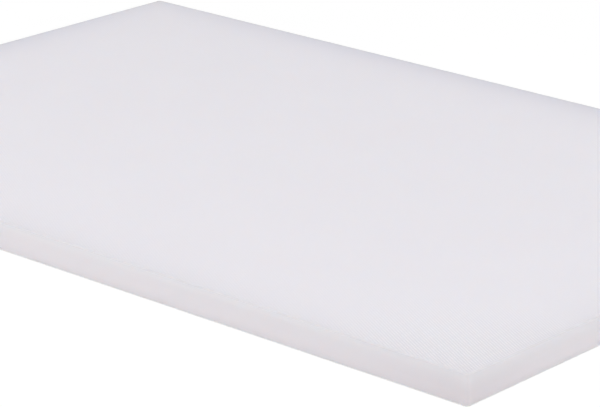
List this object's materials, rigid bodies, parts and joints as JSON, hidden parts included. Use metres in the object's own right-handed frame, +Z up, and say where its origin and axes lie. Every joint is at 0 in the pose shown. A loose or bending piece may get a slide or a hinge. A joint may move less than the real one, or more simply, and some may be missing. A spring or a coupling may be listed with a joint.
{
  "type": "cutting board",
  "caption": "Flat rectangular white plastic cutting board, reversible, with rounded corners, eased edges and a finely embossed face on each side.",
  "frame": {"origin": "middle of the underside, the face that the board rests on", "axes": "+X along the long side, +Y along the short side, +Z up through the thickness"},
  "size_m": [0.45, 0.3, 0.013],
  "materials": {
    "white_polyethylene": "matte, finely embossed faces, smooth planed edges, slightly translucent"
  },
  "bodies": {
    "root": {"board": "white_polyethylene"}
  },
  "joints": []
}
